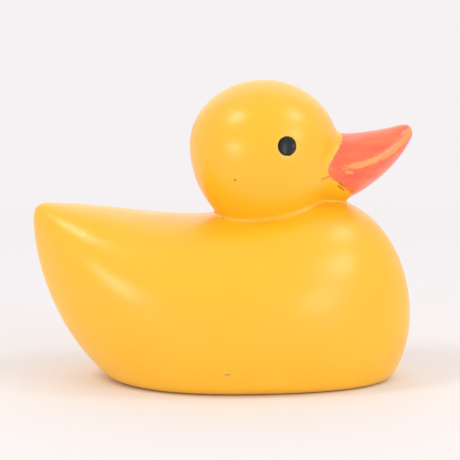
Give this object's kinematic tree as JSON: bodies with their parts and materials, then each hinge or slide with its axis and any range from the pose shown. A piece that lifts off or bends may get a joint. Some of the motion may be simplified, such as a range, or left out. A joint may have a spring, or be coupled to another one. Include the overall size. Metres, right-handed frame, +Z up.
{
  "type": "vinyl duck figurine",
  "caption": "Small moulded vinyl duck with a raised tail, an upturned painted beak and dished painted eyes, resting on a flat sole.",
  "frame": {"origin": "on the floor, under the middle of the overall box", "axes": "+X towards the beak's tip, +Y to the duck's left, +Z up"},
  "size_m": [0.0888, 0.049, 0.0706],
  "materials": {
    "yellow_vinyl": "moulded semi-gloss"
  },
  "bodies": {
    "root": {"duck": "yellow_vinyl"}
  },
  "joints": []
}
